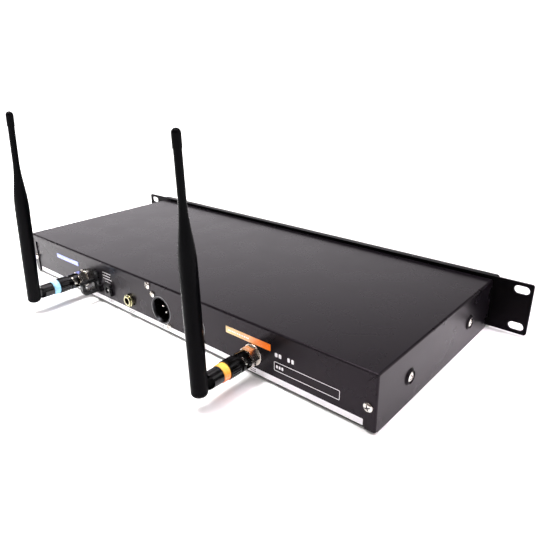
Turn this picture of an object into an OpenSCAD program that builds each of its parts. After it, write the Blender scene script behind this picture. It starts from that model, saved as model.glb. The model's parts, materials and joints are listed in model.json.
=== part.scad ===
// Shallow, one-unit-high wireless microphone receiver for a 19 inch rack.
// Millimetres. X runs to the right seen from the front, Y to the rear, Z up.
// The origin is the centre of the four rack slots on the back face of the ears.

/* [Case] */
// Width of the sheet-metal case
case_w = 420; // [410:1:430]
// Depth of the case, from the back of the front plate to the cover lips
case_d = 180; // [170:1:260]
// Height of the case top above the rack centre line
case_top = 19; // [18:0.5:20]
// Depth of the underside below the rack centre line
case_drop = 24; // [23:0.5:26]
// Thickness of the bottom tray sheet
tray_t = 1.2; // [1:0.1:1.6]
// Thickness of the cover sheet
cover_t = 1.0; // [0.8:0.1:1.2]
// Width of the cover lips folded over the rear wall
lip_w = 7.5; // [6:0.5:9]
// Outer radius of the cover's bends
cover_bend_r = 1.6; // [1.2:0.1:2]

/* [Front] */
// Width over the rack ears
ear_w = 482.6; // [482:0.1:483]
// Height of the front plate
plate_h = 44; // [43:0.1:44.4]
// Thickness of the front plate
plate_t = 2; // [1.5:0.1:3]
// Width of the fascia in front of the plate
fascia_w = 426; // [422:1:440]
// Thickness of the fascia
fascia_t = 4; // [3:0.5:6]
// Distance between the rack slots across the unit
slot_dx = 465.1; // [465:0.1:465.2]
// Distance between the rack slots up the unit
slot_dz = 31.75; // [31.7:0.05:31.8]

/* [Antennas] */
// Distance of each antenna socket from the middle
bnc_x = 110.5; // [90:0.5:125]
// Height of the antenna sockets
bnc_z = -6; // [-8:0.5:-4]
// Lean of the left-hand antenna as it stands, seen from the rear
lean_b = -7.7; // [-10:0.1:10]
// Lean of the right-hand antenna as it stands, seen from the rear
lean_a = 1.1; // [-10:0.1:10]
// Distance from the fold hinge to the tip
whip_l = 160; // [150:0.5:180]
// Radius of the thick lower part of the rod
whip_r = 5.75; // [5.5:0.05:6.5]
// Radius of the neck of the rod
neck_r = 2.5; // [2.3:0.1:3]
// Turn of the coupling collar that frees the antenna
unlock_angle = 75; // [60:1:85]
// How far the antenna backs out in that turn
unlock_travel = 1.96; // [1.5:0.01:2]

/* [Rear connectors] */
// Heights of the balanced output sockets
xlr_z = -4.5; // [-5:0.5:-4]
// Place of the line output socket across the case
line_x = 37; // [34:0.5:40]
// Height of the line output socket
line_z = -8; // [-9:0.5:-7]
// Place of the power inlet across the case
dc_x = 68.75; // [66:0.25:71]
// Height of the power inlet
dc_z = -7; // [-8:0.5:-6]

/* [Hidden] */
$fn = 48;

eps = 0.5;                            // how far a cutting tool runs past the face it opens
fit_gap = 0.1;                        // gap between a fixed piece and its hole
run_gap = 0.05;                       // radial running clearance of a turning fit
panel_y = case_d - cover_t;           // outer face of the rear wall
wall_y = panel_y - tray_t;            // inner face of the rear wall
case_bottom = -case_drop;
floor_z = case_bottom + tray_t;       // upper face of the tray bottom
side_x = case_w / 2;
cover_side_z = floor_z + 0.5;         // lower edge of the cover sides
front_y = -plate_t - fascia_t;        // front face of the fascia
left = -1;                            // antenna a, on the negative X side
right = 1;                            // antenna b, on the positive X side

screw_r = 1.4;                        // shank of the small case screws
screw_hole_r = 1.5;
side_screw_ys = [42, 139];
side_screw_z = -2.75;
lip_screw_x = 7.5;
lip_screw_z = case_top - 4.5;
corner_screw_x = 204.5;
corner_screw_z = -5.5;
plate_screw_xs = [-203, 203];
plate_screw_z = 15;

xlr_xs = [-47.5, -6.5];               // the two balanced outputs
xlr_hole_r = 12;
xlr_screw_dx = 9.5;
xlr_screw_dz = 12;
xlr_pin_places = [[-3.6, 1.2], [3.6, 1.2], [0, -3.8]];
xlr_pin_r = 1.2;
xlr_pin_y = 173.4;                    // front end of the pins
xlr_bore_r = 9.8;
xlr_mouth_r = 10.7;
line_bore_r = 3.2;
line_thread_r = 4.5;
dc_w = 9;
dc_h = 11;

channel_xs = [-85, 105];              // middles of the two front panel channels
display_dx = -45;
display_w = 60;
display_h = 24;
led_dx = -4;
led_zs = [-12, -6, 0, 6, 12];
led_r = 1.5;
button_dx = 16;
button_dz = 8;
button_w = 12;
button_h = 7;
knob_dx = 54;
knob_r = 9;
knob_shaft_r = 3;
power_x = -192;
rocker_pivot_y = front_y + 5;
rocker_w = 17;
rocker_tilt = 8;

// Stations of the antenna socket and plug along the socket axis
hex_y = panel_y + 1.4;                // front of the washer, back of the socket's hexagon
barrel_y = hex_y + 6.8;
collar_y = 188.2;                     // front edge of the collar, beside the socket
lug_y = 193.6;
mouth_y = 196.6;
step_y = 197.8;                       // step inside the collar that draws the plug in
waist_y = 195.5;                      // start of the groove round the collar
grip_y = 197.6;                       // end of that groove, start of the grip
collar_end_y = 206.9;
ring_y = 207.2;
elbow_y = 213;
whip_y = 230;                         // rod axis and fold hinge
barrel_r = 4.8;
socket_r = 4.15;
collar_r = 7;
waist_r = 5.95;
grip_r = 7;
grip_groove_count = 20;
lug_r = 1;
lug_reach = 6.2;
lug_lean = -38;                       // angle of the lugs from the vertical
slot_r = 1.3;
slot_steps = 10;
shoulder_r = 5.6;
tail_r = 3;
elbow_r = 6;
tongue_r = 4.2;
tongue_t = 4;
hinge_pin_r = 1.25;
whip_drop = 7;                        // rod below the fold hinge
whip_edge_r = 3;
scoop_r = 8.6;                        // clears the foot of the rod as it folds out
flare_z = 81;                         // the rod starts to narrow here
neck_z = 122;
flare_steps = 14;
cap_r = 2.8;
cap_l = 11;
spigot_r = 2;

board_t = 1.6;
board_z = -17;                        // underside of the main board
board_top = board_z + board_t;
board_y0 = 16;
board_y1 = 148;
board_w = 370;
can_w = 62;
can_d = 44;
can_h = 13;
front_board_y = 8;

// ---------- shared shapes ----------

// Solid round bar along Y
module rod_y(r, y0, y1) {
    translate([0, y0, 0]) rotate([-90, 0, 0]) cylinder(r = r, h = y1 - y0);
}

// Tube along Y
module tube_y(r_out, r_in, y0, y1) {
    difference() {
        rod_y(r_out, y0, y1);
        rod_y(r_in, y0 - eps, y1 + eps);
    }
}

// Solid round bar along X
module rod_x(r, x0, x1) {
    translate([x0, 0, 0]) rotate([0, 90, 0]) cylinder(r = r, h = x1 - x0);
}

// Hexagonal bar along Y, given across its flats
module hex_y_bar(across, y0, y1) {
    translate([0, y0, 0]) rotate([-90, 0, 0]) cylinder(r = across / sqrt(3), h = y1 - y0, $fn = 6);
}

// Box given by its lowest and highest corners
module block(low, high) {
    translate(low) cube(high - low);
}

// Rectangle with round corners, centred
module round_rect(w, h, r) {
    square([w - 2 * r, h], center = true);
    square([w, h - 2 * r], center = true);
    for (sx = [-1, 1], sz = [-1, 1])
        translate([sx * (w / 2 - r), sz * (h / 2 - r)]) circle(r = r);
}

// Plate with round corners, in the XZ plane between two Y stations
module round_plate(w, h, r, y0, y1) {
    translate([0, y1, 0]) rotate([90, 0, 0]) linear_extrude(y1 - y0) round_rect(w, h, r);
}

// Pan head screw pointing down -Z, with the underside of its head at z = 0
module pan_screw(head_r, head_h, length) {
    difference() {
        union() {
            intersection() {
                cylinder(r = head_r, h = head_h);
                translate([0, 0, head_h - 1.6 * head_r]) sphere(r = 1.6 * head_r);
            }
            translate([0, 0, -length]) cylinder(r = screw_r, h = length + 0.1);
        }
        for (turn = [0, 90])
            rotate([0, 0, turn + 20])
                translate([0, 0, head_h]) cube([1.25 * head_r, 0.3 * head_r, 1.3 * head_h], center = true);
    }
}

// Screw driven into the rear wall from outside
module rear_screw(x, z, head_r, y) {
    translate([x, y, z]) rotate([-90, 0, 0]) pan_screw(head_r, 0.62 * head_r, 5);
}

// Places its children on one antenna socket's axis
module on_socket(side) {
    translate([side * bnc_x, 0, bnc_z]) children();
}

// The same, turned to the lean of that antenna
module on_antenna(side) {
    on_socket(side) rotate([0, side == left ? lean_a : lean_b, 0]) children();
}

// ---------- case ----------

// Bottom, rear wall and front flange as one bent strip, in the YZ plane
module tray_strip(bend_r = 3) {
    translate([0, case_bottom]) square([panel_y - bend_r, tray_t]);
    rise = case_top - cover_t - 0.3 - case_bottom;
    translate([wall_y, case_bottom + bend_r]) square([tray_t, rise - bend_r]);
    translate([0, case_bottom]) square([tray_t, rise]);
    translate([panel_y - bend_r, case_bottom + bend_r])
        intersection() {
            difference() {
                circle(r = bend_r);
                circle(r = bend_r - tray_t);
            }
            translate([0, -bend_r]) square(bend_r);
        }
}

module rear_wall_holes() {
    for (side = [left, right])
        on_socket(side) rod_y(barrel_r + fit_gap, wall_y - eps, panel_y + eps);
    for (x = xlr_xs) translate([x, 0, xlr_z]) {
        rod_y(xlr_hole_r, wall_y - eps, panel_y + eps);
        for (s = [-1, 1])
            translate([s * xlr_screw_dx, 0, s * xlr_screw_dz])
                rod_y(screw_hole_r, wall_y - eps, panel_y + eps);
    }
    translate([line_x, 0, line_z]) rod_y(line_thread_r + fit_gap, wall_y - eps, panel_y + eps);
    translate([dc_x, 0, dc_z])
        round_plate(dc_w + 2 * fit_gap, dc_h + 2 * fit_gap, 0.5, wall_y - eps, panel_y + eps);
    translate([lip_screw_x, 0, lip_screw_z]) rod_y(screw_hole_r, wall_y - eps, panel_y + eps);
    for (s = [-1, 1])
        translate([s * corner_screw_x, 0, corner_screw_z]) rod_y(screw_hole_r, wall_y - eps, panel_y + eps);
}

module chassis_tray() {
    inner_x = side_x - cover_t - 0.4;
    color("dimgray") difference() {
        union() {
            translate([-inner_x, 0, 0]) rotate([90, 0, 90]) linear_extrude(2 * inner_x) tray_strip();
            for (s = [-1, 1]) {
                translate([s * (side_x - 1.2), 0, 0])
                    block([-0.8, 0, case_bottom], [0.8, panel_y - 3, floor_z]);
                translate([s * (inner_x - tray_t / 2), 0, 0])
                    block([-tray_t / 2, 0, case_bottom], [tray_t / 2, wall_y, 10]);
            }
        }
        rear_wall_holes();
        block([-195, -eps, -18], [195, tray_t + eps, 14.2]);
        translate([power_x, 0, 0]) round_plate(20.4, 16.4, 1, -eps, tray_t + eps);
        for (s = [-1, 1], y = side_screw_ys)
            translate([0, y, side_screw_z]) rod_x(screw_hole_r, s > 0 ? 200 : -215, s > 0 ? 215 : -200);
        for (x = plate_screw_xs, s = [-1, 1])
            translate([x, 0, s * plate_screw_z]) rod_y(screw_hole_r, -eps, tray_t + eps);
    }
}

// Space inside the outer bends between the cover's top and sides and its rear lips
module cover_envelope() {
    tall = case_top - case_bottom;
    intersection() {
        translate([-side_x, 0, case_bottom]) rotate([90, 0, 90]) linear_extrude(2 * side_x) {
            square([case_d, tall - cover_bend_r]);
            square([case_d - cover_bend_r, tall]);
            translate([case_d - cover_bend_r, tall - cover_bend_r]) circle(r = cover_bend_r);
        }
        translate([0, 0, case_bottom - 1]) linear_extrude(tall + 2) {
            translate([-side_x, 0]) square([2 * side_x, case_d - cover_bend_r]);
            translate([-side_x + cover_bend_r, 0]) square([2 * (side_x - cover_bend_r), case_d]);
            for (s = [-1, 1])
                translate([s * (side_x - cover_bend_r), case_d - cover_bend_r]) circle(r = cover_bend_r);
        }
    }
}

// Outline of the cover seen from the rear, with rounded upper bends
module cover_outline(inset, bend_r) {
    half = side_x - inset;
    top = case_top - inset;
    translate([-half, cover_side_z]) square([2 * half, top - bend_r - cover_side_z]);
    translate([-half + bend_r, top - bend_r - 1]) square([2 * (half - bend_r), bend_r + 1]);
    for (s = [-1, 1]) translate([s * (half - bend_r), top - bend_r]) circle(r = bend_r);
}

// Top and sides of the cover
module cover_shell() {
    translate([0, panel_y, 0]) rotate([90, 0, 0]) linear_extrude(panel_y) difference() {
        cover_outline(0, cover_bend_r);
        cover_outline(cover_t, cover_bend_r - cover_t);
        translate([-side_x, cover_side_z - 1]) square([2 * side_x, 1.001]);
    }
}

// Lips folded over the rear wall, mitred at the upper corners
module cover_lips(lip_x, lip_z) {
    seam = 0.4;
    translate([0, case_d, 0]) rotate([90, 0, 0]) linear_extrude(cover_t) difference() {
        cover_outline(0, cover_bend_r);
        translate([-lip_x, cover_side_z - 1]) square([2 * lip_x, lip_z - cover_side_z + 1]);
        for (s = [-1, 1]) translate([s * side_x, case_top]) rotate(-s * 45)
            translate([-seam / 2, -2 * lip_w]) square([seam, 3 * lip_w]);
    }
}

module top_cover() {
    lip_x = side_x - lip_w;
    lip_z = case_top - lip_w;
    color("dimgray") difference() {
        intersection() {
            union() {
                cover_shell();
                cover_lips(lip_x, lip_z);
            }
            cover_envelope();
        }
        for (s = [-1, 1], y = side_screw_ys)
            translate([0, y, side_screw_z]) rod_x(screw_hole_r, s > 0 ? 200 : -215, s > 0 ? 215 : -200);
        translate([lip_screw_x, 0, lip_screw_z]) rod_y(screw_hole_r, panel_y - eps, case_d + eps);
        for (s = [-1, 1])
            translate([s * corner_screw_x, 0, corner_screw_z])
                rod_y(screw_hole_r, panel_y - eps, case_d + eps);
    }
}

// Openings for the controls, cut through the layers between two Y stations
module control_holes(y0, y1, window_margin) {
    for (cx = channel_xs) translate([cx, 0, 0]) {
        translate([display_dx, 0, 0])
            round_plate(display_w - window_margin, display_h - window_margin, 1.5, y0, y1);
        for (z = led_zs) translate([led_dx, 0, z]) rod_y(led_r + fit_gap, y0, y1);
        for (s = [-1, 1]) translate([button_dx, 0, s * button_dz])
            round_plate(button_w + 0.6, button_h + 0.6, 1.3, y0, y1);
        translate([knob_dx, 0, 0]) rod_y(3.9, y0, y1);
    }
    translate([power_x, 0, 0]) round_plate(20.4, 16.4, 1, y0, y1);
}

module front_plate() {
    color("black") difference() {
        round_plate(ear_w, plate_h, 2, -plate_t, 0);
        for (sx = [-1, 1], sz = [-1, 1])
            translate([sx * slot_dx / 2, 0, sz * slot_dz / 2])
                round_plate(12, 7, 3.4999, -plate_t - eps, eps);
        control_holes(-plate_t - eps, eps, 6);
        for (x = plate_screw_xs, s = [-1, 1])
            translate([x, 0, s * plate_screw_z]) rod_y(screw_hole_r, -plate_t - eps, eps);
    }
}

module fascia() {
    color([0.06, 0.06, 0.07]) difference() {
        round_plate(fascia_w, plate_h, 2, front_y, -plate_t);
        control_holes(front_y - eps, -plate_t + eps, 0);
        for (x = plate_screw_xs, s = [-1, 1])
            translate([x, 0, s * plate_screw_z]) rod_y(3.1, -plate_t - 2.4, -plate_t + eps);
    }
}

// ---------- case hardware ----------

// Dished black washer under a side screw, lying on z = 0
module cup_washer() {
    rim = [[6.2, 0], [6, 0.35], [5.2, 0.8], [4.8, 1.4], [4.4, 1.4], [4, 0.5]];
    rotate_extrude() polygon(concat([[1.7, 0]], rim, [[1.7, 0.5]]));
}

module on_side_screws() {
    for (s = [-1, 1], y = side_screw_ys)
        translate([s * side_x, y, side_screw_z]) rotate([0, s * 90, 0]) children();
}

module side_cup_washers() {
    color("black") on_side_screws() cup_washer();
}

module side_screws() {
    color("silver") on_side_screws() translate([0, 0, 0.5]) pan_screw(3.6, 1.3, 6);
}

module rear_cover_screws() {
    color("silver") {
        rear_screw(lip_screw_x, lip_screw_z, 3, case_d);
        for (s = [-1, 1]) rear_screw(s * corner_screw_x, corner_screw_z, 3.2, case_d);
    }
}

// Screws that hold the front plate to the tray, under the fascia
module plate_screws() {
    color("silver") for (x = plate_screw_xs, s = [-1, 1])
        translate([x, -plate_t, s * plate_screw_z]) rotate([90, 0, 0]) pan_screw(2.8, 1.7, 6);
}

module channel_label(x, z, w, h) {
    translate([x, 0, z]) round_plate(w, h, 0.4, panel_y, panel_y + 0.3);
}

module orange_label() {
    color("orange") channel_label(-105.3, 5.1, 43, 5.2);
}

module blue_label() {
    color("lightblue") channel_label(140, 5.3, 40, 4.2);
}

// ---------- antenna sockets ----------

module bnc_jacks() {
    color("silver") for (side = [left, right]) on_socket(side) difference() {
        union() {
            hex_y_bar(13.5, hex_y, barrel_y);
            rod_y(barrel_r, 168, mouth_y);
            for (turn = [0, 180]) rotate([0, lug_lean + turn, 0])
                translate([0, lug_y, barrel_r - 0.4]) cylinder(r = lug_r, h = lug_reach - barrel_r + 0.4);
        }
        rod_y(socket_r, barrel_y - 0.2, mouth_y + eps);
        rod_y(2.45, 168 - eps, mouth_y);
    }
}

module bnc_washers() {
    color("silver") for (side = [left, right])
        on_socket(side) tube_y(8.2, barrel_r + fit_gap, panel_y, hex_y);
}

module bnc_nuts() {
    color("silver") for (side = [left, right]) on_socket(side) difference() {
        hex_y_bar(12.7, wall_y - 3, wall_y);
        rod_y(barrel_r + fit_gap, wall_y - 4, wall_y + eps);
    }
}

module bnc_insulators() {
    color("white") for (side = [left, right]) on_socket(side) tube_y(2.4, 1.15, 169, 195);
}

module bnc_contacts() {
    color("gold") for (side = [left, right]) on_socket(side) difference() {
        rod_y(1.1, 164, 194.8);
        rod_y(0.75, 185, 195);
    }
}

// ---------- antennas ----------

module plug_body(side) {
    color("silver") on_socket(side) {
        tube_y(socket_r - fit_gap, 2.9, barrel_y + 1, step_y + 0.4);
        rod_y(0.65, barrel_y + 1, step_y + 0.4);
        rod_y(shoulder_r, step_y + 0.3, collar_end_y - 0.2);
        rod_y(4.4, collar_end_y - 0.3, elbow_y - 0.3);
        rod_y(tail_r, elbow_y - 0.4, elbow_y + 3.3);
        rod_y(tail_r + 0.8, elbow_y + 3.2, elbow_y + 4.8);
    }
}

// Helical slot that a lug follows as the collar turns, then its straight way out
module bayonet_slot() {
    for (i = [0 : slot_steps])
        rotate([0, -unlock_angle * i / slot_steps, 0])
            translate([0, lug_y - unlock_travel * i / slot_steps, 0]) cylinder(r = slot_r, h = grip_r + 1);
    rotate([0, -unlock_angle, 0])
        block([-slot_r, collar_y - eps, 0], [slot_r, lug_y - unlock_travel, grip_r + 1]);
}

module collar(side) {
    color("black") on_socket(side) difference() {
        union() {
            rod_y(collar_r, collar_y, waist_y);
            rod_y(waist_r, waist_y - 0.1, grip_y + 0.1);
            rod_y(grip_r, grip_y, collar_end_y);
        }
        rod_y(barrel_r + 0.35, collar_y - eps, step_y + eps);
        rod_y(shoulder_r + run_gap, step_y, collar_end_y + eps);
        for (turn = [0, 180]) rotate([0, lug_lean + turn, 0]) bayonet_slot();
        for (i = [0 : grip_groove_count - 1])
            rotate([0, i * 360 / grip_groove_count, 0])
                translate([0, 0, grip_r + 0.25]) rod_y(0.6, grip_y + 1, collar_end_y - 1);
    }
}

module id_ring(side, tint) {
    color(tint) on_socket(side) tube_y(6.5, 4.4, ring_y, elbow_y - 0.3);
}

module elbow(side) {
    color("black") on_antenna(side) {
        difference() {
            rod_y(elbow_r, elbow_y, whip_y - 5);
            translate([0, whip_y, 0]) rod_x(scoop_r, -10, 10);
            rod_y(tail_r + run_gap, elbow_y - eps, elbow_y + 3.5);
            rod_y(tail_r + 1.1, elbow_y + 2.9, elbow_y + 5.1);
        }
        difference() {
            union() {
                translate([0, whip_y, 0]) rod_x(tongue_r, -tongue_t / 2, tongue_t / 2);
                block([-tongue_t / 2, elbow_y + 5.3, -3.4], [tongue_t / 2, whip_y, 3.4]);
            }
            translate([0, whip_y, 0]) rod_x(hinge_pin_r + run_gap, -tongue_t, tongue_t);
        }
    }
}

module hinge_pin(side) {
    color("silver") on_antenna(side) translate([0, whip_y, 0]) rod_x(hinge_pin_r, -4.8, 4.8);
}

// Radius of the rod at a fraction of the way up its flare
function flare_r(t) = neck_r + (whip_r - neck_r) * (0.5 + 0.5 * cos(180 * t));

// Slot in the foot of the rod: the elbow's tongue swings from its side to its underside
module tongue_pocket() {
    half = tongue_t / 2 + 0.3;
    rod_x(tongue_r + 0.3, -half, half);
    block([-half, -whip_r - eps, -3.9], [half, 0, 3.9]);
    block([-half, -3.9, -whip_drop - eps], [half, 3.9, 0]);
    block([-half, -whip_r - eps, -whip_drop - eps], [half, 0, 0]);
}

module whip(side) {
    foot = [for (a = [-90 : 15 : 0])
        [whip_r - whip_edge_r + whip_edge_r * cos(a), -whip_drop + whip_edge_r + whip_edge_r * sin(a)]];
    flare = [for (i = [0 : flare_steps])
        [flare_r(i / flare_steps), flare_z + (neck_z - flare_z) * i / flare_steps]];
    cap_z = whip_l - cap_l;
    top = [[neck_r, cap_z], [spigot_r, cap_z], [spigot_r, cap_z + 7], [0, cap_z + 7], [0, -whip_drop]];
    color([0.1, 0.1, 0.11]) on_antenna(side) translate([0, whip_y, 0]) difference() {
        rotate_extrude() polygon(concat(foot, flare, top));
        tongue_pocket();
        rod_x(hinge_pin_r + 0.02, -4.85, 4.85);
    }
}

module tip_cap(side) {
    z0 = whip_l - cap_l;
    dome = [for (a = [0 : 15 : 90]) [cap_r * cos(a), whip_l - cap_r + cap_r * sin(a)]];
    sleeve = [[spigot_r + 0.02, z0 + 7.1], [spigot_r + 0.02, z0], [cap_r, z0]];
    color([0.1, 0.1, 0.11]) on_antenna(side) translate([0, whip_y, 0])
        rotate_extrude() polygon(concat([[0, z0 + 7.1]], sleeve, dome));
}

// ---------- rear connectors ----------

module on_xlrs() {
    for (x = xlr_xs) translate([x, 0, xlr_z]) children();
}

module xlr_shells() {
    lead_in = 2.4;
    color([0.15, 0.15, 0.16]) on_xlrs() difference() {
        union() {
            rod_y(xlr_hole_r - 0.3, 158, panel_y);
            round_plate(26, 31, 2, wall_y - 1.5, wall_y);
        }
        rod_y(xlr_bore_r, 158 - eps, panel_y + eps);
        translate([0, panel_y - lead_in, 0]) rotate([-90, 0, 0])
            cylinder(r1 = xlr_bore_r, r2 = xlr_mouth_r, h = lead_in + 0.1);
        block([-1.6, 166, xlr_bore_r - 0.6], [1.6, panel_y + eps, xlr_mouth_r + 0.1]);
        for (s = [-1, 1])
            translate([s * xlr_screw_dx, 0, s * xlr_screw_dz])
                rod_y(screw_hole_r, wall_y - 2, wall_y + eps);
    }
}

module xlr_inserts() {
    color("black") on_xlrs() difference() {
        rod_y(xlr_bore_r - 0.05, 158.5, 163.5);
        for (p = xlr_pin_places) translate([p[0], 0, p[1]]) rod_y(xlr_pin_r + run_gap, 158, 164);
    }
}

module xlr_pins() {
    color("silver") on_xlrs() for (p = xlr_pin_places) translate([p[0], 0, p[1]]) {
        rod_y(xlr_pin_r, 152, xlr_pin_y);
        intersection() {
            translate([0, xlr_pin_y - 0.1, 0]) sphere(r = xlr_pin_r);
            rod_y(xlr_pin_r + 0.1, xlr_pin_y - 0.1, xlr_pin_y + xlr_pin_r);
        }
    }
}

module xlr_screws() {
    color("silver") for (x = xlr_xs, s = [-1, 1])
        rear_screw(x + s * xlr_screw_dx, xlr_z + s * xlr_screw_dz, 2.75, panel_y);
}

module line_jack() {
    color([0.75, 0.6, 0.3]) translate([line_x, 0, line_z]) difference() {
        union() {
            block([-8, 152, -7], [8, wall_y - 0.4, 6.5]);
            rod_y(line_thread_r, wall_y - 1, panel_y + 3.8);
        }
        rod_y(line_bore_r, 154, panel_y + 5);
    }
}

module line_jack_nut() {
    color([0.8, 0.62, 0.28]) translate([line_x, 0, line_z]) difference() {
        tube_y(5.75, line_thread_r + fit_gap, panel_y, panel_y + 2.6);
        for (turn = [30, 120]) rotate([0, turn, 0])
            block([-0.6, panel_y + 1.6, -7], [0.6, panel_y + 3, 7]);
    }
}

module dc_jack() {
    color([0.05, 0.05, 0.05]) translate([dc_x, 0, dc_z]) difference() {
        round_plate(dc_w, dc_h, 0.6, 160, panel_y + 3);
        rod_y(2.85, 170, panel_y + 4);
        rod_y(1.02, 160 - eps, 171);
    }
}

module dc_pin() {
    color("silver") translate([dc_x, 0, dc_z]) rod_y(1, 157, panel_y + 2);
}

// Eye beside the power inlet that the supply cord is looped through, on its riveted base plate
module cord_hook() {
    hook_x = 89;
    base_t = 2.4;
    reach = 16.3;
    eye_w = 4.4;
    eye_h = 13.5;
    color([0.05, 0.05, 0.05]) translate([hook_x, panel_y, 0]) {
        translate([0, 0, -3.7]) round_plate(12, 20.6, 2, 0, base_t);
        translate([-2.6, base_t - 0.1, 3.4]) rotate([-90, 0, 0]) cylinder(r1 = 2, r2 = 1.4, h = 1);
        translate([0.6 - eye_w / 2, 0, -7.25]) rotate([90, 0, 90]) linear_extrude(eye_w) difference() {
            union() {
                translate([0.2, -eye_h / 2]) square([reach - 5, eye_h]);
                translate([reach / 2 + 0.1, 0]) round_rect(reach - 0.2, eye_h, 4);
            }
            translate([8.7, 1.05]) round_rect(9, 6.2, 1.5);
        }
    }
}

// ---------- front controls ----------

module display_windows() {
    color("lightblue") for (cx = channel_xs) translate([cx + display_dx, 0, 0])
        round_plate(display_w - 0.4, display_h - 0.4, 1.4, -plate_t - 2, -plate_t);
}

module display_modules() {
    color("darkseagreen") for (cx = channel_xs) translate([cx + display_dx, 0, 0])
        block([-display_w / 2, 0.1, -display_h / 2], [display_w / 2, front_board_y - 0.1, display_h / 2]);
}

module leds() {
    color("limegreen") for (cx = channel_xs, z = led_zs) translate([cx + led_dx, 0, z]) {
        rod_y(led_r, front_y, front_board_y - 0.1);
        intersection() {
            translate([0, front_y, 0]) sphere(r = led_r);
            rod_y(led_r, front_y - 2, front_y + 0.1);
        }
    }
}

module on_knob(channel) {
    translate([channel_xs[channel] + knob_dx, 0, 0]) children();
}

module knob(channel) {
    back = front_y - 0.8;
    color([0.12, 0.12, 0.13]) on_knob(channel) difference() {
        union() {
            rod_y(knob_r, back - 2, back);
            rod_y(knob_r - 1, back - 11, back - 1);
        }
        rod_y(knob_shaft_r + 0.02, back - 8, back + eps);
        for (i = [0 : 17]) rotate([0, i * 20, 0])
            translate([0, 0, knob_r - 0.8]) rod_y(0.5, back - 11.5, back - 2.5);
    }
}

module knob_shaft(channel) {
    color("silver") on_knob(channel) rod_y(knob_shaft_r, front_y - 8.6, 3);
}

module volume_pots() {
    color("steelblue") for (channel = [0, 1]) on_knob(channel) difference() {
        union() {
            block([-8, 0.4, -8], [8, front_board_y - 0.1, 8]);
            rod_y(3.8, front_y + 0.2, 1);
        }
        rod_y(knob_shaft_r + run_gap, front_y - eps, 3.3);
    }
}

// Dished rocker cap about its pivot, tipped to its off position
module power_rocker() {
    back = [for (a = [-40 : 10 : 40]) [5 * cos(a), 5 * sin(a)]];
    color("black") translate([power_x, rocker_pivot_y, 0]) rotate([rocker_tilt, 0, 0])
        rotate([90, 0, 90]) translate([0, 0, -rocker_w / 2]) difference() {
            linear_extrude(rocker_w) polygon(concat([[-6.5, 6.2], [-5.2, 0], [-6.5, -6.2]], back));
            translate([0, 0, -eps]) cylinder(r = 1.3, h = rocker_w + 2 * eps);
        }
}

module power_switch_body() {
    color("black") translate([power_x, 0, 0]) {
        difference() {
            union() {
                round_plate(23, 19, 1.5, front_y - 1, front_y);
                round_plate(20, 16, 0.8, front_y - 0.5, 14);
            }
            half = rocker_w / 2 + 0.3;
            block([-half, front_y - 2, -7.4], [half, rocker_pivot_y + 6.5, 7.4]);
        }
        translate([0, rocker_pivot_y, 0]) rod_x(1.25, -rocker_w / 2 - 0.5, rocker_w / 2 + 0.5);
    }
}

module on_button(channel, row) {
    translate([channel_xs[channel] + button_dx, 0, row * button_dz]) children();
}

// Push button held from behind the front plate by its flange
module push_button(channel, row) {
    color([0.2, 0.2, 0.21]) on_button(channel, row) {
        round_plate(button_w, button_h, 1, front_y - 1.5, 0.6);
        round_plate(button_w + 2, button_h + 2, 1, 0.5, 1.5);
        rod_y(1.5, 1.4, 3.4);
    }
}

module tact_switches() {
    color("gray") for (channel = [0, 1], row = [-1, 1]) on_button(channel, row)
        difference() {
            block([-3, 3.3, -3], [3, front_board_y - 0.1, 3]);
            rod_y(1.7, 3, 5);
        }
}

// ---------- inside ----------

module main_board() {
    color("darkgreen") difference() {
        block([-board_w / 2, board_y0, board_z], [board_w / 2, board_y1, board_top]);
        on_board_corners() translate([0, 0, board_z - 1]) cylinder(r = 1.7, h = 4);
    }
}

module on_board_corners() {
    for (x = [-175, -58, 58, 175], y = [24, 140]) translate([x, y, 0]) children();
}

// Nylon supports that snap through the board
module board_supports() {
    color("white") on_board_corners() {
        translate([0, 0, floor_z]) cylinder(r = 3, h = board_z - floor_z);
        translate([0, 0, board_z - 0.1]) cylinder(r = 1.6, h = board_t + 0.2);
        translate([0, 0, board_top + 0.05]) cylinder(r1 = 2.2, r2 = 1.2, h = 2.2);
    }
}

// Chips, capacitors and coils standing on the main board
module board_parts() {
    chip_xs = [-150, -120, -20, 10, 120, 150];
    color([0.1, 0.1, 0.1]) for (x = chip_xs)
        block([x - 7, 40, board_top + 0.05], [x + 7, 54, board_top + 2]);
    color("navy") for (x = [-40 : 16 : 40], y = [100, 124])
        translate([x, y, board_top + 0.05]) cylinder(r = 4, h = 11);
    color("sienna") for (x = [-90, 90], y = [64, 80])
        translate([x, y, board_top + 0.05]) cylinder(r = 5, h = 6);
}

module tuner_cans() {
    color("lightgray") for (side = [left, right])
        translate([side * bnc_x, 0, board_top + 0.05]) difference() {
            block([-can_w / 2, 94, 0], [can_w / 2, 94 + can_d, can_h]);
            block([-can_w / 2 + 0.5, 94.5, -eps], [can_w / 2 - 0.5, 93.5 + can_d, can_h - 0.5]);
            translate([0, 0, bnc_z - board_top - 0.05]) rod_y(1.6, 130, 140);
        }
}

module heat_sink() {
    color("gray") translate([64, 100, board_top + 0.05]) {
        block([-14, -10, 0], [14, 10, 3]);
        for (i = [-3 : 3]) block([i * 4 - 0.8, -10, 2.9], [i * 4 + 0.8, 10, 16]);
    }
}

// Rigid coaxial leads from the sockets into the tuner cans
module coax_leads() {
    color("peru") for (side = [left, right]) on_socket(side) {
        rod_y(1.5, 134, 160);
        tube_y(2.3, 1.15, 159.9, 167.8);
    }
}

module front_board() {
    color("darkgreen") block([-176, front_board_y, -19], [200, front_board_y + board_t, 15]);
}

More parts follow.
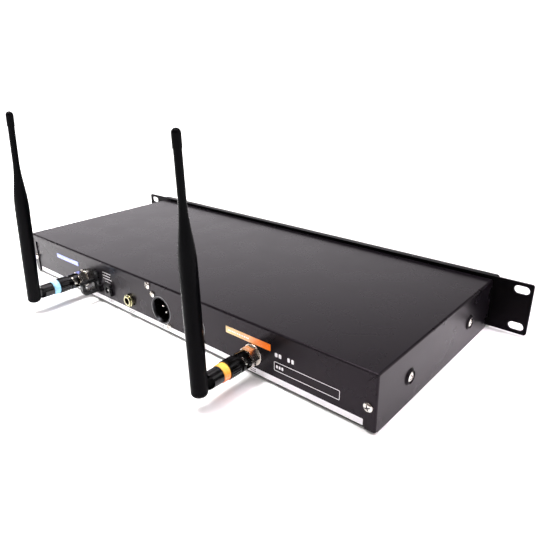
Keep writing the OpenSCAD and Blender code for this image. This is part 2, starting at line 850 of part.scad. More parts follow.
chassis_tray();
top_cover();
front_plate();
fascia();
side_cup_washers();
side_screws();
rear_cover_screws();
plate_screws();
orange_label();
blue_label();
bnc_jacks();
bnc_washers();
bnc_nuts();
bnc_insulators();
bnc_contacts();
plug_body(left);  // plug_body_a
collar(left);  // collar_a
id_ring(left, "orange");  // id_ring_a
elbow(left);  // elbow_a
hinge_pin(left);  // hinge_pin_a
whip(left);  // whip_a
tip_cap(left);  // tip_cap_a
plug_body(right);  // plug_body_b
collar(right);  // collar_b
id_ring(right, "blue");  // id_ring_b
elbow(right);  // elbow_b
hinge_pin(right);  // hinge_pin_b
whip(right);  // whip_b
tip_cap(right);  // tip_cap_b
xlr_shells();
xlr_inserts();
xlr_pins();
xlr_screws();
line_jack();
line_jack_nut();
dc_jack();
dc_pin();
cord_hook();
display_windows();
display_modules();
leds();
knob(0);  // knob_a
knob_shaft(0);  // knob_shaft_a
knob(1);  // knob_b
knob_shaft(1);  // knob_shaft_b
volume_pots();
power_rocker();
power_switch_body();
push_button(0, 1);  // set_button_a
push_button(0, -1);  // sync_button_a
push_button(1, 1);  // set_button_b
push_button(1, -1);  // sync_button_b
tact_switches();
main_board();
board_parts();
tuner_cans();
heat_sink();
coax_leads();
front_board();
board_supports();
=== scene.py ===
"""Looks of the wireless receiver unit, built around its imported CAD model, in metres and its frame."""
import json
import math

import bmesh
import bpy
from mathutils import Matrix, Vector


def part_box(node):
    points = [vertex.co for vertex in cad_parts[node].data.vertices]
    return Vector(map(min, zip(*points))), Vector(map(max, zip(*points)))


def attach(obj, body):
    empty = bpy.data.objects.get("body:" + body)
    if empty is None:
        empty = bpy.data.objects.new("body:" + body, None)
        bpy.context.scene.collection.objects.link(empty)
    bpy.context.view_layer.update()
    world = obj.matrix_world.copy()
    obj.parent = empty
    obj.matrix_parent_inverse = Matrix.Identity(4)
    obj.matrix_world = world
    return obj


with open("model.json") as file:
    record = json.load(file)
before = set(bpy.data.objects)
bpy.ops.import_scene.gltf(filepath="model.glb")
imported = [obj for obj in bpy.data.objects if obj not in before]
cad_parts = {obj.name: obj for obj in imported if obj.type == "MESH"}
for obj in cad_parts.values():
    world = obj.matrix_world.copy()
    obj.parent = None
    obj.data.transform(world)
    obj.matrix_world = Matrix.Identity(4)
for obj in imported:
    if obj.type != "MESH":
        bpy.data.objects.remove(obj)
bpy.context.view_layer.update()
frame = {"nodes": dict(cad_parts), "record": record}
NODES = frame["nodes"]
MM = 0.001


# ---------- camera, floor and light ----------

CAMERA_PLACE = (-0.3314, 0.4102, 0.1864)
CAMERA_HEADING = math.radians(138.669)   # from +Y towards +X
CAMERA_PITCH = math.radians(-22.068)
CAMERA_ROLL = math.radians(-0.783)
CAMERA_LENS = 34.815
CAMERA_SHIFT = (-0.0018, 0.0022)


def make_camera():
    data = bpy.data.cameras.new("camera")
    data.sensor_width = 36
    data.lens = CAMERA_LENS
    data.clip_start = 0.01
    data.shift_x, data.shift_y = CAMERA_SHIFT
    camera = bpy.data.objects.new("camera", data)
    bpy.context.scene.collection.objects.link(camera)
    turn = (Matrix.Rotation(-CAMERA_HEADING, 4, "Z")
            @ Matrix.Rotation(math.pi / 2 + CAMERA_PITCH, 4, "X")
            @ Matrix.Rotation(CAMERA_ROLL, 4, "Z"))
    camera.matrix_world = Matrix.Translation(CAMERA_PLACE) @ turn
    bpy.context.scene.camera = camera


FLOOR_RADIUS = 40.0
FLOOR_GAP = 0.0001                # below the tray, so that the two faces don't flicker
GLOW_DISTANCE = (0.27, 0.9)       # from the origin, where the floor's own glow starts and is full
GLOW_STRENGTH = (0.1, 1.45)


def make_floor():
    """White table top that the light box keeps bright, and that glows of itself further out."""
    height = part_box("chassis_tray")[0].z - FLOOR_GAP
    shape = bmesh.new()
    bmesh.ops.create_circle(shape, cap_ends=True, segments=96, radius=FLOOR_RADIUS,
                            matrix=Matrix.Translation((0, 0, height)))
    mesh = bpy.data.meshes.new("floor")
    shape.to_mesh(mesh)
    shape.free()
    floor = bpy.data.objects.new("floor", mesh)
    bpy.context.scene.collection.objects.link(floor)
    material, tree, bsdf = new_shader("floor_white")
    bsdf.inputs["Base Color"].default_value = (0.9, 0.9, 0.9, 1)
    bsdf.inputs["Roughness"].default_value = 1.0
    bsdf.inputs["Specular IOR Level"].default_value = 0.0
    bsdf.inputs["Emission Color"].default_value = (1, 1, 1, 1)
    distance = tree.nodes.new("ShaderNodeVectorMath")
    distance.operation = "LENGTH"
    tree.links.new(tree.nodes.new("ShaderNodeTexCoord").outputs["Object"], distance.inputs[0])
    glow = map_range(tree, distance.outputs["Value"], GLOW_DISTANCE, GLOW_STRENGTH)
    tree.links.new(glow, bsdf.inputs["Emission Strength"])
    mesh.materials.append(material)


def make_area_light(name, place, target, size, power, colour, spread):
    data = bpy.data.lights.new(name, "AREA")
    data.shape = "RECTANGLE"
    data.size, data.size_y = size
    data.energy = power
    data.color = colour
    data.spread = math.radians(spread)
    light = bpy.data.objects.new(name, data)
    light.location = place
    light.rotation_euler = (Vector(target) - Vector(place)).to_track_quat("-Z", "Y").to_euler()
    light.visible_camera = False
    bpy.context.scene.collection.objects.link(light)


ROOM_BRIGHT_SIDE = (0.82, -0.57, 0)     # the white backdrop stands on this side
ROOM_WHITE = (1.0, 0.96, 1.0, 1)
ROOM_BROWN = (0.055, 0.042, 0.035, 1)
ROOM_STRENGTH = 1.7
SEEN_STRENGTH = 1.5                     # of the plain white that the camera sees behind the object
BACKDROP_EDGE = (0.5, 0.95)             # share of the direction on the bright side, from dark to white
BACKDROP_TOP = (0.75, 0.25)             # rise of the direction, from dark to white
HORIZON_BAND = (0.16, 0.03)             # the floor's far part, grey in every direction


def make_world():
    """A white studio backdrop that ends in a dark room above and behind the camera."""
    world = bpy.data.worlds.new("studio")
    world.use_nodes = True
    tree = world.node_tree
    background = tree.nodes["Background"]
    direction = tree.nodes.new("ShaderNodeTexCoord").outputs["Generated"]
    along = tree.nodes.new("ShaderNodeVectorMath")
    along.operation = "DOT_PRODUCT"
    along.inputs[1].default_value = ROOM_BRIGHT_SIDE
    tree.links.new(direction, along.inputs[0])
    side = map_range(tree, along.outputs["Value"], BACKDROP_EDGE, (0, 1))
    split = tree.nodes.new("ShaderNodeSeparateXYZ")
    tree.links.new(direction, split.inputs["Vector"])
    low = map_range(tree, split.outputs["Z"], BACKDROP_TOP, (0, 1))
    horizon = map_range(tree, split.outputs["Z"], HORIZON_BAND, (0, 0.5))
    backdrop = calculate(tree, "MULTIPLY", side, low)
    white = calculate(tree, "MAXIMUM", backdrop, horizon)
    mix = tree.nodes.new("ShaderNodeMix")
    mix.data_type = "RGBA"
    mix.inputs["A"].default_value = ROOM_BROWN
    mix.inputs["B"].default_value = ROOM_WHITE
    tree.links.new(white, mix.inputs["Factor"])
    tree.links.new(mix.outputs["Result"], background.inputs["Color"])
    background.inputs["Strength"].default_value = ROOM_STRENGTH
    seen = tree.nodes.new("ShaderNodeBackground")
    seen.inputs["Strength"].default_value = SEEN_STRENGTH
    path = tree.nodes.new("ShaderNodeLightPath")
    choose = tree.nodes.new("ShaderNodeMixShader")
    tree.links.new(path.outputs["Is Camera Ray"], choose.inputs["Fac"])
    tree.links.new(background.outputs["Background"], choose.inputs[1])
    tree.links.new(seen.outputs["Background"], choose.inputs[2])
    tree.links.new(choose.outputs["Shader"], tree.nodes["World Output"].inputs["Surface"])
    bpy.context.scene.world = world


# name, place, target, size, power, colour and spread in degrees
LIGHTS = (
    ("softbox_top", (-0.05, 0.0, 1.5), (0, 0.1, 0), (1.6, 1.2), 21.5, (1, 0.95, 0.99), 180),
    ("spot_left", (0.4, 0.42, 0.9), (0.34, 0.29, -0.02), (0.7, 0.7), 5, (1, 1, 1), 45),
    ("spot_right", (-0.5, -0.06, 0.9), (-0.36, 0.0, -0.02), (0.3, 0.3), 0.85, (1, 0.88, 0.98), 45),
    ("spot_camera_side", (0.25, 1.0, 0.9), (0.1, 0.2, 0), (0.12, 0.12), 1.8, (1, 0.97, 0.93), 180),
    ("panel_right", (-1.2, -0.3, 0.6), (0, 0.1, 0.05), (1.4, 0.9), 5, (1, 1, 1), 180),
)


def make_lighting():
    bpy.context.scene.view_settings.view_transform = "Standard"
    make_world()
    for light in LIGHTS:
        make_area_light(*light)


# ---------- materials ----------

def new_shader(name):
    material = bpy.data.materials.new(name)
    material.use_nodes = True
    tree = material.node_tree
    return material, tree, tree.nodes["Principled BSDF"]


def map_range(tree, value, source, target):
    node = tree.nodes.new("ShaderNodeMapRange")
    node.interpolation_type = "SMOOTHSTEP"
    node.inputs["From Min"].default_value, node.inputs["From Max"].default_value = source
    node.inputs["To Min"].default_value, node.inputs["To Max"].default_value = target
    tree.links.new(value, node.inputs["Value"])
    return node.outputs["Result"]


def calculate(tree, operation, first, second):
    node = tree.nodes.new("ShaderNodeMath")
    node.operation = operation
    tree.links.new(first, node.inputs[0])
    tree.links.new(second, node.inputs[1])
    return node.outputs["Value"]


def noise(tree, scale, detail=2.0, stretch=(1, 1, 1)):
    """Noise fixed to the object, scale in features per metre."""
    coordinates = tree.nodes.new("ShaderNodeTexCoord")
    mapping = tree.nodes.new("ShaderNodeMapping")
    mapping.inputs["Scale"].default_value = stretch
    texture = tree.nodes.new("ShaderNodeTexNoise")
    texture.inputs["Scale"].default_value = scale
    texture.inputs["Detail"].default_value = detail
    tree.links.new(coordinates.outputs["Object"], mapping.inputs["Vector"])
    tree.links.new(mapping.outputs["Vector"], texture.inputs["Vector"])
    return texture.outputs["Fac"]


def vary_colour(tree, bsdf, dark, light, amount):
    mix = tree.nodes.new("ShaderNodeMix")
    mix.data_type = "RGBA"
    mix.inputs["A"].default_value = (*dark, 1)
    mix.inputs["B"].default_value = (*light, 1)
    tree.links.new(amount, mix.inputs["Factor"])
    tree.links.new(mix.outputs["Result"], bsdf.inputs["Base Color"])


def vary_roughness(tree, bsdf, low, high, amount):
    spread = tree.nodes.new("ShaderNodeMapRange")
    spread.inputs["From Min"].default_value = 0.3
    spread.inputs["From Max"].default_value = 0.7
    spread.inputs["To Min"].default_value = low
    spread.inputs["To Max"].default_value = high
    tree.links.new(amount, spread.inputs["Value"])
    tree.links.new(spread.outputs["Result"], bsdf.inputs["Roughness"])


def add_bump(tree, bsdf, height, depth, strength=1.0):
    bump = tree.nodes.new("ShaderNodeBump")
    bump.inputs["Distance"].default_value = depth
    bump.inputs["Strength"].default_value = strength
    tree.links.new(height, bump.inputs["Height"])
    tree.links.new(bump.outputs["Normal"], bsdf.inputs["Normal"])


def scaled(colour, factor):
    return tuple(min(1.0, channel * factor) for channel in colour)


def painted(name, colour, roughness=(0.26, 0.3), grain=2400, depth=0.0000012, specular=0.165,
            tint=(1.0, 0.83, 0.97)):
    """Powder coat or paint: mottled colour, fine orange-peel grain."""
    material, tree, bsdf = new_shader(name)
    vary_colour(tree, bsdf, scaled(colour, 0.85), scaled(colour, 1.15), noise(tree, 70, 4))
    vary_roughness(tree, bsdf, *roughness, noise(tree, 40, 3))
    add_bump(tree, bsdf, noise(tree, grain, 2), depth)
    bsdf.inputs["Specular IOR Level"].default_value = specular
    bsdf.inputs["Specular Tint"].default_value = (*tint, 1)
    return material


def plated(name, colour, roughness=(0.12, 0.24), brushed=(1, 1, 1), depth=0.000006):
    """Bare or plated metal with fine wear."""
    material, tree, bsdf = new_shader(name)
    vary_colour(tree, bsdf, scaled(colour, 0.9), scaled(colour, 1.06), noise(tree, 300, 3))
    vary_roughness(tree, bsdf, *roughness, noise(tree, 900, 4, brushed))
    add_bump(tree, bsdf, noise(tree, 2500, 3, brushed), depth)
    bsdf.inputs["Metallic"].default_value = 1.0
    return material


def moulded(name, colour, roughness=(0.35, 0.5), grain=3000, depth=0.00002, coat=0.0,
            specular=0.35):
    """Moulded plastic or rubber with a fine grain."""
    material, tree, bsdf = new_shader(name)
    vary_colour(tree, bsdf, scaled(colour, 0.88), scaled(colour, 1.12), noise(tree, 120, 3))
    vary_roughness(tree, bsdf, *roughness, noise(tree, 700, 3))
    add_bump(tree, bsdf, noise(tree, grain, 3), depth)
    bsdf.inputs["Specular IOR Level"].default_value = specular
    bsdf.inputs["Coat Weight"].default_value = coat
    bsdf.inputs["Coat Roughness"].default_value = 0.08
    return material


def printed_with_painted_light(name, colour, painted_light_colour, axis, start, end):
    """Glossy printed surface whose colour fades from a first colour at start to full colour at end; the
    fade is painted light and reflection across the surface, not print.
    """
    material, tree, bsdf = new_shader(name)
    split = tree.nodes.new("ShaderNodeSeparateXYZ")
    tree.links.new(tree.nodes.new("ShaderNodeTexCoord").outputs["Object"], split.inputs["Vector"])
    vary_colour(tree, bsdf, painted_light_colour, colour, map_range(tree, split.outputs[axis], (start, end), (0, 1)))
    vary_roughness(tree, bsdf, 0.2, 0.3, noise(tree, 700, 3))
    add_bump(tree, bsdf, noise(tree, 1500, 3), 0.000004)
    bsdf.inputs["Coat Weight"].default_value = 0.6
    bsdf.inputs["Coat Roughness"].default_value = 0.08
    return material


def span(node, axis):
    """The axis, and where the node starts and ends along it, from its high side."""
    low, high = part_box(node)
    index = "XYZ".index(axis)
    return axis, high[index], low[index]


def rubbery():
    """Matt rubber of the rods, glossy only where it is seen nearly edge on."""
    material = moulded("antenna_rubber", (0.0015, 0.0015, 0.002), (0.3, 0.38), 3000, 0.00001,
                       specular=0.02)
    tree = material.node_tree
    facing = tree.nodes.new("ShaderNodeLayerWeight").outputs["Facing"]
    bsdf = tree.nodes["Principled BSDF"]
    tree.links.new(map_range(tree, facing, (0.7, 0.97), (0.03, 0.9)), bsdf.inputs["Coat Weight"])
    return material


MATERIALS = {
    "case_black": painted("case_black", (0.005, 0.0042, 0.0054)),
    "plate_black": painted("plate_black", (0.0012, 0.0012, 0.0014), (0.3, 0.4), 3000, 0.000004, 0.04),
    "fascia_black": painted("fascia_black", (0.003, 0.003, 0.0033), (0.3, 0.38), 3200, 0.000004, 0.05),
    "washer_black": painted("washer_black", (0.003, 0.003, 0.003), (0.3, 0.4), specular=0.1),
    "nickel": plated("nickel", (0.84, 0.8, 0.74), (0.18, 0.28)),
    # Painted reflection: the orange label is pale yellow-orange at its +X end and deep orange at its -X
    # end.
    "orange_label": printed_with_painted_light("orange_label", (1.0, 0.2, 0.012), (1.0, 0.66, 0.28),
                            *span("orange_label", "X")),
    # Painted shade: the blue label is a little darker at its +X end than at its -X end.
    "blue_label": printed_with_painted_light("blue_label", (0.3, 0.36, 1.0), (0.22, 0.28, 0.9),
                          *span("blue_label", "X")),
    "ptfe_white": moulded("ptfe_white", (0.93, 0.9, 0.96), (0.4, 0.5)),
    "gold": plated("gold", (0.9, 0.66, 0.25)),
    "collar_black": plated("collar_black", (0.03, 0.03, 0.031), (0.08, 0.14)),
    # Painted light: the orange band is yellow-orange at the top of the ring and red-orange at its
    # bottom, as if lit from above.
    "orange_band": printed_with_painted_light("orange_band", (1.0, 0.13, 0.02), (1.0, 0.52, 0.07),
                           *span("id_ring_a", "Z")),
    "blue_band": moulded("blue_band", (0.3, 0.6, 0.9), (0.22, 0.34), 2500, 0.000006, 0.4),
    "elbow_black": moulded("elbow_black", (0.003, 0.003, 0.0035), (0.12, 0.2), 2600, 0.000004),
    "antenna_rubber": rubbery(),
    "xlr_metal": plated("xlr_metal", (0.018, 0.018, 0.02), (0.25, 0.38)),
    "insert_black": moulded("insert_black", (0.003, 0.003, 0.003), specular=0.2),
    "silver_pin": plated("silver_pin", (0.86, 0.85, 0.82), (0.1, 0.2)),
    "brass": plated("brass", (0.42, 0.4, 0.25), (0.12, 0.22)),
    "socket_black": moulded("socket_black", (0.004, 0.004, 0.0045), (0.24, 0.34)),
    "window_glass": moulded("window_glass", (0.02, 0.022, 0.024), (0.04, 0.08), 800, 0.000001, 1.0),
    "display_green": moulded("display_green", (0.15, 0.24, 0.2)),
    "led_green": moulded("led_green", (0.12, 0.4, 0.12), (0.15, 0.25)),
    "knob_black": moulded("knob_black", (0.018, 0.018, 0.019)),
    "pot_metal": plated("pot_metal", (0.6, 0.6, 0.62), (0.3, 0.45)),
    "switch_black": moulded("switch_black", (0.012, 0.012, 0.012), (0.25, 0.38)),
    "button_grey": moulded("button_grey", (0.09, 0.09, 0.095), (0.35, 0.48)),
    "board_green": moulded("board_green", (0.01, 0.09, 0.035), (0.2, 0.32), 900, 0.00001, 0.3),
    "board_parts_black": moulded("board_parts_black", (0.02, 0.02, 0.022)),
    "can_metal": plated("can_metal", (0.72, 0.72, 0.73), (0.28, 0.42), (1, 6, 1)),
    "heat_sink_metal": plated("heat_sink_metal", (0.3, 0.3, 0.31), (0.35, 0.5)),
    "coax_copper": plated("coax_copper", (0.75, 0.42, 0.25), (0.25, 0.4)),
}


# ---------- finish of the CAD pieces ----------

BEVELS = {   # width of the edge round, in millimetres
    "chassis_tray": 0.25, "top_cover": 0.25, "front_plate": 0.4, "fascia": 0.8,
    "orange_label": 0.08, "blue_label": 0.08, "cord_hook": 0.6, "dc_jack": 0.4,
    "bnc_jacks": 0.2, "bnc_washers": 0.25, "id_ring_a": 0.5, "id_ring_b": 0.5,
    "collar_a": 0.25, "collar_b": 0.25, "elbow_a": 0.4, "elbow_b": 0.4,
    "line_jack_nut": 0.3, "knob_a": 0.5, "knob_b": 0.5, "power_rocker": 0.5,
    "power_switch_body": 0.5, "set_button_a": 0.5, "set_button_b": 0.5,
    "sync_button_a": 0.5, "sync_button_b": 0.5, "xlr_shells": 0.25,
}
DEFAULT_BEVEL = 0.12
SHARP_ANGLE = math.radians(34)


def sharp_edge_group():
    """Geometry nodes that shade smooth, but keep edges above SHARP_ANGLE sharp."""
    group = bpy.data.node_groups.new("shade_by_angle", "GeometryNodeTree")
    group.interface.new_socket("Geometry", in_out="INPUT", socket_type="NodeSocketGeometry")
    group.interface.new_socket("Geometry", in_out="OUTPUT", socket_type="NodeSocketGeometry")
    start = group.nodes.new("NodeGroupInput")
    end = group.nodes.new("NodeGroupOutput")
    angle = group.nodes.new("GeometryNodeInputMeshEdgeAngle")
    compare = group.nodes.new("FunctionNodeCompare")
    compare.operation = "LESS_EQUAL"
    compare.inputs["B"].default_value = SHARP_ANGLE
    faces = group.nodes.new("GeometryNodeSetShadeSmooth")
    faces.domain = "FACE"
    edges = group.nodes.new("GeometryNodeSetShadeSmooth")
    edges.domain = "EDGE"
    group.links.new(angle.outputs["Unsigned Angle"], compare.inputs["A"])
    group.links.new(start.outputs[0], faces.inputs["Geometry"])
    group.links.new(faces.outputs["Geometry"], edges.inputs["Geometry"])
    group.links.new(compare.outputs["Result"], edges.inputs["Shade Smooth"])
    group.links.new(edges.outputs["Geometry"], end.inputs[0])
    return group


SHADE_BY_ANGLE = sharp_edge_group()


def round_edges(obj, width, segments=3):
    """Welds the seams of the tessellation, rounds the sharp edges and shades what is left smooth."""
    weld = obj.modifiers.new("weld", "WELD")
    weld.merge_threshold = 0.000002
    if width > 0:
        bevel = obj.modifiers.new("bevel", "BEVEL")
        bevel.width = width
        bevel.segments = segments
        bevel.limit_method = "ANGLE"
        bevel.angle_limit = SHARP_ANGLE
        bevel.use_clamp_overlap = True
    shade = obj.modifiers.new("shade_by_angle", "NODES")
    shade.node_group = SHADE_BY_ANGLE
    normals = obj.modifiers.new("weighted_normals", "WEIGHTED_NORMAL")
    normals.keep_sharp = True


def clear_normals(obj):
    with bpy.context.temp_override(object=obj, active_object=obj, selected_objects=[obj]):
        bpy.ops.mesh.customdata_custom_splitnormals_clear()


def finish_cad_pieces():
    slots = {entry["node"]: entry["material_slot"] for entry in frame["record"]["subparts"]}
    for name, obj in NODES.items():
        obj.data.materials.clear()
        obj.data.materials.append(MATERIALS[slots[name]])
        clear_normals(obj)
        round_edges(obj, BEVELS.get(name, DEFAULT_BEVEL) * MM)


# ---------- printed marks and other fine pieces ----------

REAR_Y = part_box("xlr_shells")[1].y / MM     # outer face of the rear wall, in millimetres
FRONT_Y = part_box("fascia")[0].y / MM
GLASS_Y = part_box("display_windows")[0].y / MM
LABEL_THICKNESS = 0.3
INK = 0.06                                   # thickness of printed ink, in millimetres
INK_SUNK = -0.02                             # how far a mark's back is set into its surface


def on_rear(x, z, lift):
    return Vector((x, REAR_Y + lift, z)) * MM


def on_label(x, z, lift):
    return on_rear(x, z, lift + LABEL_THICKNESS)


def on_stripe(x, z, lift):
    return on_rear(x, z, lift + INK / 2)


def on_front(x, z, lift):
    return Vector((x, FRONT_Y - lift, z)) * MM


def on_glass(x, z, lift):
    return Vector((x, GLASS_Y - lift, z)) * MM


def round_rect(x, z, width, height, radius, steps=4):
    """Outline of a rectangle with round corners, about its middle."""
    corners = ((1, 1, 0), (-1, 1, 90), (-1, -1, 180), (1, -1, 270))
    outline = []
    for side_x, side_z, start in corners:
        for step in range(steps + 1):
            angle = math.radians(start + 90 * step / steps)
            outline.append((x + side_x * (width / 2 - radius) + radius * math.cos(angle),
                            z + side_z * (height / 2 - radius) + radius * math.sin(angle)))
    return outline


def ring_points(x, z, radius, count=56):
    turns = [2 * math.pi * step / count for step in range(count)]
    return [(x + radius * math.cos(turn), z + radius * math.sin(turn)) for turn in turns]


def add_walls(shape, low, high):
    for step in range(len(low)):
        following = (step + 1) % len(low)
        shape.faces.new((low[step], low[following], high[following], high[step]))


def add_slab(shape, outline, place, top=INK):
    """Thin plate with the given outline, set slightly into the surface it lies on."""
    low = [shape.verts.new(place(x, z, INK_SUNK)) for x, z in outline]
    high = [shape.verts.new(place(x, z, top)) for x, z in outline]
    shape.faces.new(low)
    shape.faces.new(high)
    add_walls(shape, low, high)


def add_band(shape, outer, inner, place, top=INK):
    """Thin closed band between two outlines with the same number of points."""
    loops = [[shape.verts.new(place(x, z, lift)) for x, z in outline]
             for outline, lift in ((outer, INK_SUNK), (outer, top), (inner, top), (inner, INK_SUNK))]
    for step in range(4):
        add_walls(shape, loops[step], loops[(step + 1) % 4])


def add_dashes(shape, place, start, z, lengths, height=0.7, gap=0.7, step=1):
    """Row of short dashes from start, towards +X where step is 1, towards -X where it is -1."""
    x = start
    for length in lengths:
        outline = round_rect(x + step * length / 2, z, length, height, min(length, height) * 0.3, 2)
        add_slab(shape, outline, place)
        x += step * (length + gap)


def add_frame(shape, place, x, z, width, height, radius, line, top=INK):
    add_band(shape, round_rect(x, z, width, height, radius),
             round_rect(x, z, width - 2 * line, height - 2 * line, radius - line), place, top)


def make_piece(name, shape, body, slot, edge=0.015):
    bmesh.ops.recalc_face_normals(shape, faces=shape.faces)
    mesh = bpy.data.meshes.new(name)
    shape.to_mesh(mesh)
    shape.free()
    piece = bpy.data.objects.new(name, mesh)
    bpy.context.scene.collection.objects.link(piece)
    mesh.materials.append(MATERIALS[slot])
    round_edges(piece, edge * MM, 1)
    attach(piece, body)
    return piece


# Places on the rear wall, in millimetres
STRIPE_Z = -18.9
STRIPE_LENGTH = 400.8
XLR_XS = (-47.5, -6.5)
XLR_Z = -4.5
JACK_XS = (37, 68.75)
SOCKET_XS = (-110.5, 110.5)
SERIAL_X = -156.6
SERIAL_Z = -7.6
POLARITY_X = 70.4                            # ring with a dash on each side, by the power inlet
POLARITY_Z = -0.3
# Lengths of the dashes that stand for printed words
WORDS = ((1.2, 0.8, 1.4, 0.9, 1.1), (0.9, 1.3, 0.8, 1.5), (1.4, 0.7, 1.0, 1.2, 0.8, 1.1))


def make_rear_marks():
    stripe = bmesh.new()
    add_slab(stripe, round_rect(-0.4, STRIPE_Z, STRIPE_LENGTH, 4.6, 0.5), on_rear)
    make_piece("rear_stripe", stripe, "chassis", "ptfe_white")

    captions = bmesh.new()
    for count, x in enumerate((*XLR_XS, *JACK_XS, *SOCKET_XS)):
        for row in (0.75, -0.75):
            add_dashes(captions, on_stripe, x + 4, STRIPE_Z + row, WORDS[count % 3], 0.6, 0.5, -1)
    make_piece("stripe_captions", captions, "chassis", "socket_black")

    serial = bmesh.new()
    add_frame(serial, on_rear, SERIAL_X, SERIAL_Z, 53.8, 7.2, 0.9, 0.4)
    add_dashes(serial, on_rear, SERIAL_X + 25.1, SERIAL_Z, (1.6, 1.6, 1.6), 2.4, 0.8, -1)
    make_piece("serial_frame", serial, "chassis", "ptfe_white")

    marks = bmesh.new()
    add_dashes(marks, on_rear, -130.5, 1.4, (2.4, 2.4), 3.2, 1.0, -1)
    add_dashes(marks, on_rear, -141.5, 1.4, (2.0, 2.0), 3.2, 1.4, -1)
    for row, z in enumerate((8.2, 5.4, 2.6)):
        add_dashes(marks, on_rear, 77.5, z, WORDS[row] + WORDS[row - 1][:3], 0.65, 0.6, -1)
    add_band(marks, ring_points(POLARITY_X, POLARITY_Z, 0.9, 20),
             ring_points(POLARITY_X, POLARITY_Z, 0.5, 20), on_rear)
    for start, lengths in ((POLARITY_X + 4.2, (1.4, 1.0)), (POLARITY_X - 1.2, (1.0, 1.4))):
        add_dashes(marks, on_rear, start, POLARITY_Z, lengths, 0.5, 0.3, -1)
    for x in XLR_XS:
        add_dashes(marks, on_rear, x + 5, 14.2, WORDS[2], 0.8, 0.55, -1)
    make_piece("rear_marks", marks, "chassis", "ptfe_white")

    label_marks = bmesh.new()
    add_dashes(label_marks, on_label, -86.5, 5.1, WORDS[2] * 2, 1.1, 0.7, -1)
    add_dashes(label_marks, on_label, 157, 5.3, (1.2, 1.2), 1.4, 0.8, -1)
    add_dashes(label_marks, on_label, 144.5, 5.3, WORDS[0] * 2, 0.9, 0.7, -1)
    make_piece("label_marks", label_marks, "chassis", "ptfe_white")

    bezels = bmesh.new()
    for x in XLR_XS:
        add_band(bezels, ring_points(x, XLR_Z, 12.2), ring_points(x, XLR_Z, 11.9), on_rear, 0.15)
    make_piece("xlr_bezels", bezels, "chassis", "heat_sink_metal", 0.04)


COVER_SCREWS = ((204.5, -5.5), (-204.5, -5.5), (7.5, 14.5))   # x and z
COVER_SCREW_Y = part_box("top_cover")[1].y / MM + 0.65           # bottom of their cross recesses
SIDE_SCREWS = ((42, -2.75), (139, -2.75))                      # y and z
SIDE_SCREW_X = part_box("side_screws")[1].x / MM - 0.84          # bottom of their cross recesses
CROSS_TURN = 20
COVER_CROSS = (1.82, 0.42, 0.75)                               # half length, half width and fill
SIDE_CROSS = (2.2, 0.51, 0.4)


def add_cross(shape, place, turn, reach, half, fill):
    """Painted shade: two crossed dark bars that fill the lower part of a screw's recess."""
    for start in (turn, turn + 90):
        angle = math.radians(start)
        along = Vector((math.cos(angle), math.sin(angle))) * reach
        aside = Vector((-math.sin(angle), math.cos(angle))) * half
        corners = (along - aside, along + aside, aside - along, -along - aside)
        add_slab(shape, [tuple(corner) for corner in corners], place, fill)


def make_screw_shadows():
    """Painted shade: dark bars at the bottoms of the cross recesses in the screw heads on the rear wall
    and the case's sides.
    """
    crosses = bmesh.new()
    for x, z in COVER_SCREWS:
        add_cross(crosses, lambda u, v, lift: Vector((x + u, COVER_SCREW_Y + lift, z + v)) * MM,
                  -CROSS_TURN, *COVER_CROSS)
    for side in (1, -1):
        for y, z in SIDE_SCREWS:
            add_cross(crosses,
                      lambda u, v, lift: Vector((side * (SIDE_SCREW_X + lift), y + u, z + v)) * MM,
                      side * CROSS_TURN, *SIDE_CROSS)
    make_piece("screw_recess_shade", crosses, "chassis", "socket_black")


# The two channels on the front, and places from a channel's middle, in millimetres
CHANNELS = (("a", -85), ("b", 105))
KNOB_DX = 54
BUTTON_DX = 16
WINDOW_DX = -45
LAMP_ZS = (-12, -6, 0, 6, 12)
SCALE_STEPS = 11
SCALE_RADIUS = 11
ROCKER_X = -192
ROCKER_MARK_Z = 13.6
SEGMENT = 0.9                                # width of a digit's segment on the display
DIGIT_PITCH = 9


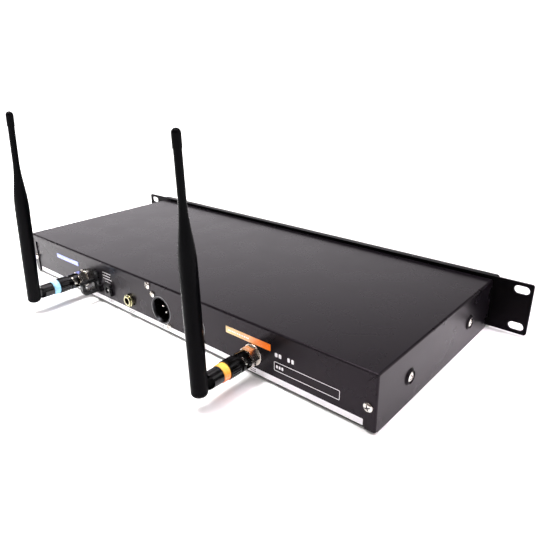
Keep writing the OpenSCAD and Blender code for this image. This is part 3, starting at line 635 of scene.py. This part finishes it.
def make_front_marks():
    lines = bmesh.new()
    for _, x in CHANNELS:
        add_frame(lines, on_front, x - 5, 0, 152, 35, 2.5, 0.35)
        add_frame(lines, on_front, x + WINDOW_DX, 0, 64.4, 28.4, 3, 0.6)
        for z in LAMP_ZS:
            add_dashes(lines, on_front, x - 1.3, z, (1.1, 0.9, 1.3), 0.8, 0.45)
        for z in (2.4, -13.6):
            add_dashes(lines, on_front, x + BUTTON_DX - 3.4, z, (1.4, 1.1, 1.6, 1.0), 0.8, 0.5)
        for step in range(SCALE_STEPS):
            turn = math.radians(240 - 30 * step)
            across = Vector((math.cos(turn), math.sin(turn)))
            aside = Vector((-across.y, across.x)) * 0.22
            middle = Vector((x + KNOB_DX, 0))
            reach = 13.2 if step % 5 == 0 else 12.4
            corners = (middle + across * SCALE_RADIUS - aside, middle + across * reach - aside,
                       middle + across * reach + aside, middle + across * SCALE_RADIUS + aside)
            add_slab(lines, [tuple(corner) for corner in corners], on_front)
    add_slab(lines, round_rect(ROCKER_X, ROCKER_MARK_Z, 0.6, 3, 0.2, 2), on_front)
    add_band(lines, ring_points(ROCKER_X, -ROCKER_MARK_Z, 1.6, 28),
             ring_points(ROCKER_X, -ROCKER_MARK_Z, 1.1, 28), on_front)
    make_piece("front_marks", lines, "chassis", "ptfe_white")

    glow = bmesh.new()
    for _, x in CHANNELS:
        for row, lit in ((-3.4, 10), (-8.2, 7)):
            for step in range(lit):
                add_slab(glow, round_rect(x - 67 + step * 3, row, 2.1, 2.6, 0.3, 2), on_glass, 0.04)
        for digit in range(3):
            left = x - 66 + digit * DIGIT_PITCH
            for z in (1.2, 5, 8.8):
                add_slab(glow, round_rect(left + 2.6, z, 3.6, SEGMENT, 0.4, 2), on_glass, 0.04)
            for z in (3.1, 6.9):
                for side in (0, 5.2):
                    add_slab(glow, round_rect(left + side, z, SEGMENT, 2.8, 0.4, 2), on_glass, 0.04)
        add_dashes(glow, on_glass, x - 33, 7.4, (2, 1.4, 2.4), 1.4, 0.8)
        add_dashes(glow, on_glass, x - 33, 2.4, (1.4, 2.4, 1.6), 1.4, 0.8)
    make_piece("display_marks", glow, "chassis", "led_green")

    for side, x in CHANNELS:
        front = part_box("knob_" + side)[0].y / MM
        pointer = bmesh.new()
        profile = round_rect(x + KNOB_DX, 7.75, 0.8, 0.5, 0.12, 2)
        back = [pointer.verts.new(Vector((u, front + 8, v)) * MM) for u, v in profile]
        tip = [pointer.verts.new(Vector((u, front + 0.02, v)) * MM) for u, v in profile]
        pointer.faces.new(back)
        pointer.faces.new(tip)
        add_walls(pointer, back, tip)
        make_piece("knob_pointer_" + side, pointer, "knob_" + side, "ptfe_white")


finish_cad_pieces()
make_rear_marks()
make_screw_shadows()
make_front_marks()
make_camera()
make_floor()
make_lighting()
